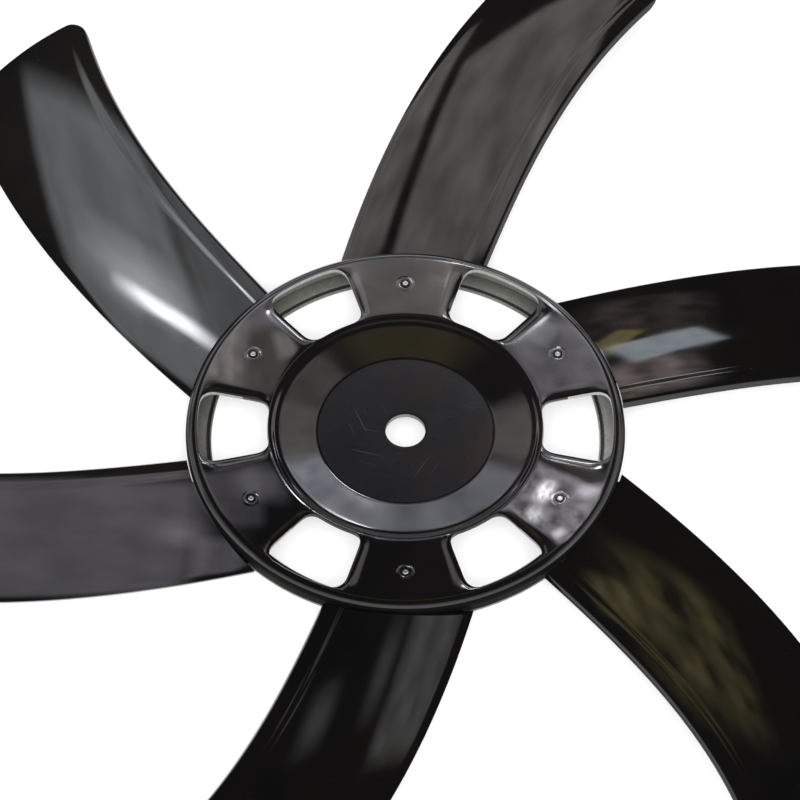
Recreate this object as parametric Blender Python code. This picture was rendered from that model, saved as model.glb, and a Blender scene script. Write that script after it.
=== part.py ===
"""Six-blade axial fan wheel in glass-fibre laminate, lying face up.

The wheel is one dished hub moulding with six windows, six swept blades whose feet are riveted
under the hub's arms, and a hoop that closes the skirt from below. Metres, +Z up along the spin
axis, the hoop's underside at Z = 0.
"""
import math

import bmesh
import bpy

MM = 0.001

# Hub, seen from the front.
BORE_R = 20 * MM
FLAT_R = 90 * MM
CONE_R = 128.5 * MM
SHOULDER_R = 138 * MM
DISC_R = 220 * MM
RIM_ROUND = 9 * MM
SHEET = 5 * MM
DISH_DEPTH = 8 * MM
CONE_TOP_DEPTH = 4 * MM
SKIRT_DEPTH = 20 * MM
SKIRT_DRAFT = 1.5 * MM

# Windows between the arms.
SECTORS = 6
STEP = 2 * math.pi / SECTORS
WINDOW_IN_R = 137.5 * MM
WINDOW_OUT_R = 208.5 * MM
WINDOW_HALF = math.radians(12.5)
WINDOW_IN_CORNER = 12 * MM
WINDOW_OUT_CORNER = 14 * MM

# Blades. The chord is measured along the arc, and grows a little towards the tip. A section's fall
# is how far its trailing edge lies below its leading edge, and the surface runs straight from the
# root's section to the tip's.
TIP_R = 610 * MM
CHORD = 152 * MM
CHORD_GROWTH = 0.055
EDGE_A_ROOT = math.radians(8.3)
EDGE_A_SLOPE = math.radians(3.4)
EDGE_A_SWEEP = math.radians(-8.5)
BLADE_T = 4 * MM
ROOT_FALL = 5 * MM
ROOT_CAMBER = 6 * MM
ROOT_TOP_DEPTH = 8 * MM
TIP_FALL = 16 * MM
TIP_CAMBER = 9 * MM
TIP_LEAD_HEIGHT = 14 * MM
TIP_CORNER = 25 * MM
NOSE_DROP = 4 * MM
NOSE_WIDTH = 7 * MM
BEAD_HEIGHT = 1.5 * MM
BEAD_FLAT_END = 18 * MM
BEAD_END = 23 * MM
BEVEL_WIDTH = 9 * MM
BEVEL_DROP = 2 * MM

# Blade foot under the arm, and its way out through the skirt.
FOOT_IN_R = 150 * MM
FOOT_LEVEL_R = 194 * MM
JOGGLE_END_R = 210 * MM
GAP = 0.3 * MM
ROOT_CLEAR = 0.9 * MM

# Hoop and fixings.
HOOP_IN_R = 194.5 * MM
HOOP_T = 4 * MM
RIVET_R = 177 * MM
RIVET_ANGLE = STEP / 2
SHANK_R = 2.4 * MM
HEAD_R = 4.8 * MM
FLANGE_H = 0.9 * MM
PLUG_R = 2.7 * MM
PLUG_H = 2 * MM
TAIL_R = 3.6 * MM
TAIL_H = 2.6 * MM
WASHER_R = 8 * MM
WASHER_T = 1.5 * MM

# Facets.
HUB_SEGMENTS = 72
HOLE_SEGMENTS = 12
WASHER_SEGMENTS = 18
CORNER_STEPS = 4
ARC_STEPS = 6
RIM_STEPS = 4
SPAN_ROWS = 16

FOOT_TOP = -SHEET - GAP
FOOT_BOTTOM = FOOT_TOP - BLADE_T
FACE_Z = SKIRT_DEPTH + GAP + HOOP_T


def clear_scene():
    for obj in list(bpy.data.objects):
        bpy.data.objects.remove(obj, do_unlink=True)


def material(name, color, roughness, metallic=0.0):
    mat = bpy.data.materials.new(name)
    mat.use_nodes = True
    shader = mat.node_tree.nodes["Principled BSDF"]
    shader.inputs["Base Color"].default_value = (*color, 1.0)
    shader.inputs["Roughness"].default_value = roughness
    shader.inputs["Metallic"].default_value = metallic
    return mat


def polar(radius, angle):
    return radius * math.cos(angle), radius * math.sin(angle)


def spread(start, end, steps):
    """Evenly spaced values from start to end, both included."""
    return [start + (end - start) * i / steps for i in range(steps + 1)]


def add_object(name, bm, mat=None):
    """Turns the bmesh into a named object whose origin is on the spin axis at the arm face."""
    bmesh.ops.recalc_face_normals(bm, faces=bm.faces)
    mesh = bpy.data.meshes.new(name)
    bm.to_mesh(mesh)
    bm.free()
    obj = bpy.data.objects.new(name, mesh)
    obj.location.z = FACE_Z
    bpy.context.collection.objects.link(obj)
    if mat is not None:
        mesh.materials.append(mat)
        mesh.shade_smooth()
        mesh.set_sharp_from_angle(angle=math.radians(35))
    return obj


def lathe(name, profile, segments, mat=None, centre=(0.0, 0.0)):
    """Turns a closed (radius, height) outline about a vertical axis through centre."""
    bm = bmesh.new()
    rings = []
    for k in range(segments):
        angle = 2 * math.pi * k / segments
        ring = []
        for radius, height in profile:
            x, y = polar(radius, angle)
            ring.append(bm.verts.new((centre[0] + x, centre[1] + y, height)))
        rings.append(ring)
    count = len(profile)
    for k, ring in enumerate(rings):
        following = rings[(k + 1) % segments]
        for i in range(count):
            j = (i + 1) % count
            bm.faces.new((ring[i], following[i], following[j], ring[j]))
    return add_object(name, bm, mat)


def turned_pin(name, profile, segments, mat, centre):
    """Turns an open outline whose first and last points are closed with flat caps."""
    bm = bmesh.new()
    rings = []
    for radius, height in profile:
        ring = []
        for k in range(segments):
            x, y = polar(radius, 2 * math.pi * k / segments)
            ring.append(bm.verts.new((centre[0] + x, centre[1] + y, height)))
        rings.append(ring)
    for low, high in zip(rings, rings[1:]):
        for k in range(segments):
            n = (k + 1) % segments
            bm.faces.new((low[k], low[n], high[n], high[k]))
    bm.faces.new(rings[0])
    bm.faces.new(rings[-1])
    return add_object(name, bm, mat)


def add_prism(bm, outline, low, high):
    """Adds a closed upright prism over an (x, y) outline to the bmesh."""
    base = [bm.verts.new((x, y, low)) for x, y in outline]
    top = [bm.verts.new((x, y, high)) for x, y in outline]
    bm.faces.new(base)
    bm.faces.new(top)
    for i in range(len(outline)):
        j = (i + 1) % len(outline)
        bm.faces.new((base[i], base[j], top[j], top[i]))


def cutter(name, outlines, low, high):
    bm = bmesh.new()
    for outline in outlines:
        add_prism(bm, outline, low, high)
    obj = add_object(name, bm)
    hide_cutter(obj)
    return obj


def hide_cutter(obj):
    obj.hide_render = True
    obj.display_type = "WIRE"
    obj.hide_viewport = True


def cut(obj, tool):
    boolean = obj.modifiers.new(tool.name, "BOOLEAN")
    boolean.operation = "DIFFERENCE"
    boolean.solver = "EXACT"
    boolean.object = tool


def turned_outline(outline, angle):
    c, s = math.cos(angle), math.sin(angle)
    return [(x * c - y * s, x * s + y * c) for x, y in outline]


def arc(centre, radius, start, end, steps):
    return [(centre[0] + radius * math.cos(a), centre[1] + radius * math.sin(a))
            for a in spread(start, end, steps)]


def window_outline():
    """Rounded trapezoid between two radial sides and two arcs, centred on +X."""
    out_r = WINDOW_OUT_R - WINDOW_OUT_CORNER
    in_r = WINDOW_IN_R + WINDOW_IN_CORNER
    out_angle = WINDOW_HALF - math.asin(WINDOW_OUT_CORNER / out_r)
    in_angle = WINDOW_HALF - math.asin(WINDOW_IN_CORNER / in_r)
    quarter = math.pi / 2
    half = [polar(WINDOW_OUT_R, a) for a in spread(0, out_angle, ARC_STEPS // 2)[:-1]]
    half += arc(polar(out_r, out_angle), WINDOW_OUT_CORNER, out_angle,
                WINDOW_HALF + quarter, CORNER_STEPS)
    half += arc(polar(in_r, in_angle), WINDOW_IN_CORNER, WINDOW_HALF + quarter,
                in_angle + math.pi, CORNER_STEPS)
    half += [polar(WINDOW_IN_R, a) for a in spread(in_angle, 0, ARC_STEPS // 2)[1:]]
    mirrored = [(x, -y) for x, y in reversed(half[1:-1])]
    return half + mirrored


def circle_outline(centre, radius, segments):
    return arc(centre, radius, 0, 2 * math.pi, segments)[:-1]


def hub_profile():
    """Outline of the moulding's wall, front face outwards then back along the inside."""
    centre = (DISC_R - RIM_ROUND, -RIM_ROUND)
    foot_r = DISC_R - SKIRT_DRAFT
    front = [(BORE_R, -DISH_DEPTH), (FLAT_R, -DISH_DEPTH), (CONE_R, -CONE_TOP_DEPTH),
             (SHOULDER_R - 2 * MM, -0.5 * MM), (SHOULDER_R + 2 * MM, 0.0)]
    front += arc(centre, RIM_ROUND, math.pi / 2, 0, RIM_STEPS)
    skirt = [(foot_r, -SKIRT_DEPTH), (foot_r - SHEET, -SKIRT_DEPTH)]
    back = arc(centre, RIM_ROUND - SHEET, 0, math.pi / 2, RIM_STEPS // 2)
    back += [(SHOULDER_R + 3 * MM, -SHEET), (CONE_R + 1.5 * MM, -CONE_TOP_DEPTH - SHEET),
             (FLAT_R + 0.5 * MM, -DISH_DEPTH - SHEET), (BORE_R, -DISH_DEPTH - SHEET)]
    return front + skirt + back


def edge_a(radius):
    """Angle of the blade's beaded edge at a radius, for the first blade."""
    span = span_share(radius)
    return EDGE_A_ROOT + EDGE_A_SLOPE * span + EDGE_A_SWEEP * span * span


def smooth(value):
    value = min(max(value, 0.0), 1.0)
    return value * value * (3 - 2 * value)


def span_share(radius):
    """0 where the blade leaves the hub, 1 at the tip."""
    return (radius - DISC_R) / (TIP_R - DISC_R)


def blade_angle(radius, distance):
    growth = 1 + CHORD_GROWTH * span_share(radius)
    return edge_a(radius) + growth * distance / radius


def edge_form(distance):
    """Rolled nose and flat raised bead along edge A, and a bevel along the other edge."""
    if distance < NOSE_WIDTH:
        fall = 1 - distance / NOSE_WIDTH
        return BEAD_HEIGHT - (NOSE_DROP + BEAD_HEIGHT) * fall * fall
    if distance < BEAD_END:
        return BEAD_HEIGHT * smooth((BEAD_END - distance) / (BEAD_END - BEAD_FLAT_END))
    if distance > CHORD - BEVEL_WIDTH:
        return -BEVEL_DROP * (distance - CHORD + BEVEL_WIDTH) / BEVEL_WIDTH
    return 0.0


def section(distance, fall, camber):
    """A cambered section that starts level with edge A and falls towards the other edge."""
    across = distance / CHORD
    return 4 * camber * across * (1 - across) - fall * across


def root_height(distance):
    """Height of the root's section over the arm face; its highest line clears the rim above."""
    top = (4 * ROOT_CAMBER - ROOT_FALL) ** 2 / (16 * ROOT_CAMBER)
    return section(distance, ROOT_FALL, ROOT_CAMBER) - top - ROOT_TOP_DEPTH


def blade_height(radius, distance):
    """Height of the blade's front face over the arm face, at a distance from edge A."""
    span = span_share(radius)
    tip_height = section(distance, TIP_FALL, TIP_CAMBER) + TIP_LEAD_HEIGHT
    root = root_height(distance)
    return root + (tip_height - root) * span + edge_form(distance)


def tip_radius(distance):
    """The tip is an arc with both corners rounded."""
    near = min(distance, CHORD - distance)
    if near >= TIP_CORNER:
        return TIP_R
    return TIP_R - TIP_CORNER + math.sqrt(TIP_CORNER ** 2 - (TIP_CORNER - near) ** 2)


def blade_columns():
    """Distances from edge A; the foot lies between the two listed as its sides."""
    foot_sides = (32 * MM, CHORD - 11.6 * MM)
    near_a = [0.0, 3 * MM, NOSE_WIDTH, BEAD_FLAT_END, BEAD_END]
    middle = spread(foot_sides[0], CHORD - 30 * MM, 4)
    near_b = [foot_sides[1], CHORD - BEVEL_WIDTH, CHORD]
    columns = near_a + middle + near_b
    return columns, columns.index(foot_sides[0]), columns.index(foot_sides[1])


def foot_height(radius, distance):
    """The foot lies flat under the arm, then steps down to the section that leaves the skirt."""
    step = smooth((radius - FOOT_LEVEL_R) / (JOGGLE_END_R - FOOT_LEVEL_R))
    return FOOT_TOP + (root_height(distance) - FOOT_TOP) * step


def foot_point(radius, distance):
    """The foot's sides are radial, so it passes the skirt at the angles of the blade's root."""
    angle = blade_angle(DISC_R + ROOT_CLEAR, distance)
    return (*polar(radius, angle), foot_height(radius, distance))


def blade_rows():
    """Rows of (x, y, z) points from the foot's inner end to the tip; None where no blade is."""
    columns, first, last = blade_columns()
    foot_radii = [FOOT_IN_R, RIVET_R - 8 * MM, RIVET_R + 8 * MM]
    foot_radii += spread(FOOT_LEVEL_R, JOGGLE_END_R, 3) + [DISC_R - 4 * MM]
    rows = []
    for radius in foot_radii:
        row = [None] * len(columns)
        for j in range(first, last + 1):
            row[j] = foot_point(radius, columns[j])
        rows.append(row)
    root_r = DISC_R + ROOT_CLEAR
    for part in spread(0.0, 1.0, SPAN_ROWS):
        rows.append([blade_point(root_r + (tip_radius(d) - root_r) * part, d) for d in columns])
    return rows


def blade_point(radius, distance):
    return (*polar(radius, blade_angle(radius, distance)), blade_height(radius, distance))


def thick_sheet(name, rows, thickness, turn, mat=None):
    """Closed solid below a grid of points; cells with a missing corner are left out."""
    bm = bmesh.new()
    c, s = math.cos(turn), math.sin(turn)
    top, low = {}, {}
    for i, row in enumerate(rows):
        for j, point in enumerate(row):
            if point is None:
                continue
            x, y = point[0] * c - point[1] * s, point[0] * s + point[1] * c
            top[i, j] = bm.verts.new((x, y, point[2]))
            low[i, j] = bm.verts.new((x, y, point[2] - thickness))
    border = {}
    for i in range(len(rows) - 1):
        for j in range(len(rows[0]) - 1):
            corners = [(i, j), (i + 1, j), (i + 1, j + 1), (i, j + 1)]
            if any(corner not in top for corner in corners):
                continue
            bm.faces.new([top[corner] for corner in corners])
            bm.faces.new([low[corner] for corner in reversed(corners)])
            for a, b in zip(corners, corners[1:] + corners[:1]):
                if (b, a) in border:
                    del border[b, a]
                else:
                    border[a, b] = True
    for a, b in border:
        bm.faces.new((top[a], low[a], low[b], top[b]))
    return add_object(name, bm, mat)


def slot_rows():
    """Rows of points just above the foot where it passes the skirt, a little wider than it."""
    columns, first, last = blade_columns()
    slack = 2 * GAP
    distances = [columns[first] - slack] + columns[first + 1:last] + [columns[last] + slack]
    rows = []
    for radius in (DISC_R - RIM_ROUND, DISC_R + RIM_ROUND):
        row = []
        for d in distances:
            angle = blade_angle(DISC_R + ROOT_CLEAR, d)
            row.append((*polar(radius, angle), root_height(d) + GAP))
        rows.append(row)
    return rows


def rivet_centre(k):
    return polar(RIVET_R, RIVET_ANGLE + k * STEP)


def build_hub(gelcoat):
    hub = lathe("hub_disc", hub_profile(), HUB_SEGMENTS, gelcoat)
    windows = [turned_outline(window_outline(), k * STEP) for k in range(SECTORS)]
    cut(hub, cutter("window_cutter", windows, -SKIRT_DEPTH, RIM_ROUND))
    for k in range(SECTORS):
        slot = thick_sheet(f"slot_cutter_{k + 1}", slot_rows(), BLADE_T + 2 * GAP, k * STEP)
        hide_cutter(slot)
        cut(hub, slot)
    holes = [circle_outline(rivet_centre(k), SHANK_R + GAP, HOLE_SEGMENTS)
             for k in range(SECTORS)]
    hole_tool = cutter("rivet_hole_cutter", holes, -SKIRT_DEPTH, RIM_ROUND)
    cut(hub, hole_tool)
    return hole_tool


def build_hoop(laminate):
    top = -SKIRT_DEPTH - GAP
    outer = DISC_R - SKIRT_DRAFT - 0.5 * MM
    lip = 1 * MM
    profile = [(HOOP_IN_R, top - lip), (HOOP_IN_R + lip, top), (outer, top),
               (outer, top - HOOP_T), (HOOP_IN_R, top - HOOP_T)]
    lathe("skirt_hoop", profile, HUB_SEGMENTS, laminate)


def build_blades(gelcoat, hole_tool):
    rows = blade_rows()
    for k in range(SECTORS):
        blade = thick_sheet(f"blade_{k + 1}", rows, BLADE_T, k * STEP, gelcoat)
        cut(blade, hole_tool)


def build_fixings(aluminium, steel):
    washer_top = FOOT_BOTTOM - GAP
    washer = [(SHANK_R + GAP, washer_top), (WASHER_R, washer_top),
              (WASHER_R, washer_top - WASHER_T), (SHANK_R + GAP, washer_top - WASHER_T)]
    tail_top = washer_top - WASHER_T - GAP
    rivet = [(0.6 * TAIL_R, tail_top - TAIL_H), (TAIL_R, tail_top - 0.6 * TAIL_H),
             (TAIL_R, tail_top - 0.2 * TAIL_H), (SHANK_R, tail_top), (SHANK_R, GAP),
             (HEAD_R, GAP), (0.85 * HEAD_R, GAP + FLANGE_H), (1.1 * PLUG_R, GAP + 0.7 * FLANGE_H),
             (PLUG_R, GAP + 0.6 * PLUG_H), (0.5 * PLUG_R, GAP + PLUG_H)]
    for k in range(SECTORS):
        centre = rivet_centre(k)
        lathe(f"washer_{k + 1}", washer, WASHER_SEGMENTS, steel, centre)
        turned_pin(f"rivet_{k + 1}", rivet, HOLE_SEGMENTS, aluminium, centre)


def main():
    clear_scene()
    gelcoat = material("black_gelcoat", (0.012, 0.012, 0.014), 0.12)
    blade_gelcoat = material("blade_gelcoat", (0.014, 0.014, 0.016), 0.14)
    laminate = material("raw_laminate", (0.17, 0.18, 0.15), 0.65)
    aluminium = material("rivet_aluminium", (0.72, 0.73, 0.75), 0.3, 1.0)
    steel = material("zinc_steel", (0.55, 0.56, 0.56), 0.4, 1.0)
    hole_tool = build_hub(gelcoat)
    build_blades(blade_gelcoat, hole_tool)
    build_hoop(laminate)
    build_fixings(aluminium, steel)


main()
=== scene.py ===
# %% [markdown]
# # A six-blade fan wheel in black gelcoat
#
# The part is an axial fan wheel moulded in glass-fibre laminate: a dished hub disc with six
# windows, six swept blades that come out from under its rim, and one blind rivet in each arm.
# A imported model already fixes every size and place. This lesson dresses that model: each visible
# moulding is remodelled with clean, dense geometry over its plain solid, and every surface gets
# a finish built from nodes.
#
# The frame is loaded first, because every later size is read from it.

# %% Load the imported frame and read its sizes
import math

import bmesh
import bpy
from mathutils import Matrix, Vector


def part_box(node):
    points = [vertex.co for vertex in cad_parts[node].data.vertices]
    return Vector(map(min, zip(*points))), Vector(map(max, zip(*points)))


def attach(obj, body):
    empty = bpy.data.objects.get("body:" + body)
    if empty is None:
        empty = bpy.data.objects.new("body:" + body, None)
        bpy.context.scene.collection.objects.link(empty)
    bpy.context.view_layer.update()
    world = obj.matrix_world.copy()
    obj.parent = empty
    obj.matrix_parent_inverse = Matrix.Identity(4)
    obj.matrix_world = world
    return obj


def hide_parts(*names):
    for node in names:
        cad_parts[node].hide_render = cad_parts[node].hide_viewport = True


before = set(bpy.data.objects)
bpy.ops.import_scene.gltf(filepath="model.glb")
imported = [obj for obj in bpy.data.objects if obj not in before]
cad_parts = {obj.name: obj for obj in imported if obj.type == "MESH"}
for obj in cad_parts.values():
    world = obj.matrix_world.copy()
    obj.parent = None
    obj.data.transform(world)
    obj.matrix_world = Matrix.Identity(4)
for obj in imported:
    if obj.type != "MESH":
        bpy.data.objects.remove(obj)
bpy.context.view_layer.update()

MM = 0.001
SECTORS = 6
STEP = 2 * math.pi / SECTORS

hub_low, hub_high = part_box("hub_disc")
hoop_low, hoop_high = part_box("skirt_hoop")
rivet_low, rivet_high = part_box("rivet_1")

FACE_Z = hub_high.z
DISC_R = hub_high.x
SKIRT_DEPTH = hub_high.z - hub_low.z
rivet_centre = (rivet_low + rivet_high) / 2
print("arm face at", round(FACE_Z, 4), "disc radius", round(DISC_R, 4))

# %% [markdown]
# ## Camera
#
# The photograph looks at the wheel's front so that its circles show as ellipses 0.813 as tall
# as they are wide, with no narrowing towards the far side. A long lens on a camera tilted until
# the sine of its elevation is 0.813 gives both. The rim's centre is then put on its own pixel.

# %% Place the camera
FRAME_PIXELS = 800
PIXEL_SIZE = 1 * MM
RIM_CENTRE_PIXEL = (405.4, 429.3)
SQUASH = 0.813
LENS = 320.0
SENSOR = 36.0
RIM_EDGE_DROP = 6 * MM


def place_camera():
    elevation = math.asin(SQUASH)
    back = Vector((0, -math.cos(elevation), math.sin(elevation)))
    up = Vector((0, math.sin(elevation), math.cos(elevation)))
    right_shift = (FRAME_PIXELS / 2 - RIM_CENTRE_PIXEL[0]) * PIXEL_SIZE
    up_shift = (RIM_CENTRE_PIXEL[1] - FRAME_PIXELS / 2) * PIXEL_SIZE
    aim = Vector((0, 0, FACE_Z - RIM_EDGE_DROP)) + Vector((right_shift, 0, 0)) + up * up_shift
    distance = FRAME_PIXELS / 2 * PIXEL_SIZE * LENS / (SENSOR / 2)
    data = bpy.data.cameras.new("camera")
    data.lens = LENS
    data.sensor_width = SENSOR
    data.clip_end = 100
    camera = bpy.data.objects.new("camera", data)
    bpy.context.collection.objects.link(camera)
    camera.location = aim + back * distance
    camera.rotation_mode = "QUATERNION"
    camera.rotation_quaternion = (-back).to_track_quat("-Z", "Y")
    bpy.context.scene.camera = camera
    print("camera", round(distance, 2), "m away, elevation", round(math.degrees(elevation), 1))


place_camera()

# %% [markdown]
# ## Modelling helpers
#
# The pieces are modelled as by hand, in edit mode, from primitives. The frame leaves its own
# nodes selected, and an operator acts on all that is selected, so each piece starts by
# deselecting everything. Most forms of the wheel are an outline that is spun, so the first
# helpers draw one by extruding a single vertex from point to point.

# %% Start a piece and draw its outline
DOUBLE = 0.01 * MM


def start_piece(name):
    """A small plane merged to one vertex at the origin, in edit mode, as an outline's start."""
    bpy.ops.object.select_all(action="DESELECT")
    bpy.ops.mesh.primitive_plane_add(size=MM)
    piece = bpy.context.object
    piece.name = piece.data.name = name
    bpy.ops.object.mode_set(mode="EDIT")
    bpy.ops.mesh.select_mode(type="VERT")
    bpy.ops.mesh.select_all(action="SELECT")
    bpy.ops.mesh.merge(type="CENTER")
    return piece


def draw_outline(points):
    """Moves the first vertex to the first point, then extrudes it from point to point."""
    place = Vector(points[0])
    bpy.ops.transform.translate(value=place)
    for point in points[1:]:
        step = Vector(point) - place
        bpy.ops.mesh.extrude_region_move(TRANSFORM_OT_translate={"value": step})
        place = Vector(point)


print("vertices closer than", round(DOUBLE / MM, 3), "mm count as doubles")

# %% [markdown]
# A mouse picks vertices and faces by where they are, and so does the code: a test on their
# place, such as the radius or the angle about the spin axis, says which ones are selected.

# %% Pick parts by their place
def pick(piece, kind, test):
    """Selects, in edit mode, only the vertices or faces whose place passes the test."""
    bpy.ops.mesh.select_mode(type=kind)
    bpy.ops.mesh.select_all(action="DESELECT")
    bm = bmesh.from_edit_mesh(piece.data)
    if kind == "FACE":
        parts, place = bm.faces, lambda face: face.calc_center_median()
    else:
        parts, place = bm.verts, lambda vert: vert.co
    count = 0
    for part in parts:
        if test(place(part)):
            part.select_set(True)
            count += 1
    bm.select_flush_mode()
    bmesh.update_edit_mesh(piece.data)
    return count


def radius_of(place):
    return math.hypot(place.x, place.y)


def angle_of(place):
    return math.atan2(place.y, place.x)


print("the first rivet stands at radius", round(radius_of(rivet_centre), 4), "and",
      round(math.degrees(angle_of(rivet_centre)), 1), "degrees")

# %% [markdown]
# Modifiers do what is tedious by hand, such as giving a sheet its wall. Each one is applied at
# once, so that the next step works on real faces. A finished piece is shaded smooth, except
# where two faces meet more sharply than a given angle.

# %% Apply a modifier and finish a piece
def apply_modifier(piece, kind, **settings):
    modifier = piece.modifiers.new(kind.title(), kind)
    for key, value in settings.items():
        setattr(modifier, key, value)
    bpy.ops.object.select_all(action="DESELECT")
    bpy.context.view_layer.objects.active = piece
    piece.select_set(True)
    bpy.ops.object.modifier_apply(modifier=modifier.name)


def finish_piece(piece, sharp=35):
    """Leaves edit mode with normals outwards and smooth shading between sharp edges."""
    if piece.mode == "EDIT":
        bpy.ops.object.mode_set(mode="OBJECT")
    bpy.ops.object.select_all(action="DESELECT")
    bpy.context.view_layer.objects.active = piece
    piece.select_set(True)
    bpy.ops.object.shade_smooth_by_angle(angle=math.radians(sharp))
    triangles = sum(len(face.vertices) - 2 for face in piece.data.polygons)
    print(piece.name, triangles, "triangles")


print("the frame holds", len(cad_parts), "nodes to dress")

# %% [markdown]
# ## Finishes
#
# Every finish is a Principled shader whose inputs come from noise, since no real surface is even.
# The noise reads Object coordinates, which keep each pattern fixed to the part, and a Map Range
# node turns its soft grey into the band of values that a colour or a roughness needs.

# %% Start a material, add noise, set its range
def node_material(name, metallic=0.0, specular=0.5):
    mat = bpy.data.materials.new(name)
    mat.use_nodes = True
    shader = mat.node_tree.nodes["Principled BSDF"]
    shader.inputs["Metallic"].default_value = metallic
    shader.inputs["Specular IOR Level"].default_value = specular
    place = mat.node_tree.nodes.new("ShaderNodeTexCoord").outputs["Object"]
    return mat, shader, place


def noise(mat, place, scale, detail=3.0, stretch=None, turn=0.0):
    """Noise in turns per metre; turn rotates it about Z, then stretch scales its axes."""
    nodes, links = mat.node_tree.nodes, mat.node_tree.links
    if stretch:
        mapping = nodes.new("ShaderNodeMapping")
        mapping.vector_type = "TEXTURE"
        mapping.inputs["Scale"].default_value = tuple(1 / axis for axis in stretch)
        mapping.inputs["Rotation"].default_value = (0, 0, turn)
        links.new(place, mapping.inputs["Vector"])
        place = mapping.outputs["Vector"]
    texture = nodes.new("ShaderNodeTexNoise")
    texture.inputs["Scale"].default_value = scale
    texture.inputs["Detail"].default_value = detail
    links.new(place, texture.inputs["Vector"])
    return texture.outputs["Fac"]


def band(mat, value, low, high, out_low=0.0, out_high=1.0):
    """Maps a value's range to another one, clamped."""
    node = mat.node_tree.nodes.new("ShaderNodeMapRange")
    node.inputs["From Min"].default_value = low
    node.inputs["From Max"].default_value = high
    node.inputs["To Min"].default_value = out_low
    node.inputs["To Max"].default_value = out_high
    mat.node_tree.links.new(value, node.inputs["Value"])
    return node.outputs["Result"]


print("noise is sampled in Object coordinates")

# %% [markdown]
# Layers are then laid over each other: colours are mixed by a mask, values are multiplied or
# compared, and several bumps are stacked, each with the depth in metres that it stands for.

# %% Mix and stack layers
def math_node(mat, operation, first, second):
    node = mat.node_tree.nodes.new("ShaderNodeMath")
    node.operation = operation
    for socket, value in zip(node.inputs, (first, second)):
        if isinstance(value, float):
            socket.default_value = value
        else:
            mat.node_tree.links.new(value, socket)
    return node.outputs["Value"]


def blend_colors(mat, fac, first, second):
    """Mixes two colours, or a colour and an earlier mix, by a factor."""
    node = mat.node_tree.nodes.new("ShaderNodeMix")
    node.data_type = "RGBA"
    mat.node_tree.links.new(fac, node.inputs["Factor"])
    for socket, value in ((node.inputs[6], first), (node.inputs[7], second)):
        if isinstance(value, tuple):
            socket.default_value = (*value, 1.0)
        else:
            mat.node_tree.links.new(value, socket)
    return node.outputs[2]


def add_bump(mat, shader, layers):
    """Stacks bump layers, each a height and the depth in metres that its full range stands for."""
    nodes, links = mat.node_tree.nodes, mat.node_tree.links
    previous = None
    for height, depth in layers:
        bump = nodes.new("ShaderNodeBump")
        bump.inputs["Distance"].default_value = depth
        links.new(height, bump.inputs["Height"])
        if previous is not None:
            links.new(previous, bump.inputs["Normal"])
        previous = bump.outputs["Normal"]
    links.new(previous, shader.inputs["Normal"])


def link(mat, value, socket):
    mat.node_tree.links.new(value, socket)


print("masks, colours and bumps can be layered")

# %% [markdown]
# Gelcoat is a hard, glossy resin skin. It looks deep black, but it is never perfect: it waves
# over the fibres below, it carries a fine orange peel and dust, and its tone drifts a little.
# The waves are far too fine to model, so they are a bump. The blades wave more than the hub, and
# the skirt, which is only trimmed after moulding, is dull.

# %% Black gelcoat for the hub, the blades and the skirt
def gelcoat(name, dark, warm, rough_low, rough_high, wave, specular=0.5):
    mat, shader, place = node_material(name, specular=specular)
    tone = band(mat, noise(mat, place, 9.0, 4.0), 0.35, 0.65)
    colour = blend_colors(mat, tone, dark, warm)
    dust = band(mat, noise(mat, place, 620.0, 2.0), 0.72, 0.80)
    colour = blend_colors(mat, math_node(mat, "MULTIPLY", dust, 0.35), colour, (0.11, 0.11, 0.115))
    link(mat, colour, shader.inputs["Base Color"])
    rough = band(mat, noise(mat, place, 30.0, 5.0), 0.3, 0.7, rough_low, rough_high)
    rough = math_node(mat, "ADD", rough, math_node(mat, "MULTIPLY", dust, 0.2))
    link(mat, rough, shader.inputs["Roughness"])
    add_bump(mat, shader, [(noise(mat, place, 8.0, 1.0), wave),
                           (noise(mat, place, 60.0, 2.0), 0.012 * MM),
                           (noise(mat, place, 900.0, 1.0), 0.0006 * MM)])
    return mat


hub_black = gelcoat("hub_black_gelcoat", (0.003, 0.003, 0.0035), (0.006, 0.005, 0.0045),
                    0.04, 0.08, 0.25 * MM)
blade_black = gelcoat("blade_black_gelcoat", (0.003, 0.003, 0.0035), (0.0065, 0.0055, 0.004),
                      0.05, 0.10, 0.5 * MM)
skirt_black = gelcoat("skirt_dull_gelcoat", (0.003, 0.003, 0.003), (0.005, 0.0045, 0.003),
                      0.5, 0.65, 0.25 * MM, specular=0.06)
print("gelcoats:", hub_black.name, blade_black.name, skirt_black.name)

# %% [markdown]
# The flat centre is duller than the rest: a clamping plate has scuffed it, and hairlines cross
# it in all directions. It gets a weaker, rougher gloss, faint brown stains and its own scratches,
# which are noise stretched into lines.

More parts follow.
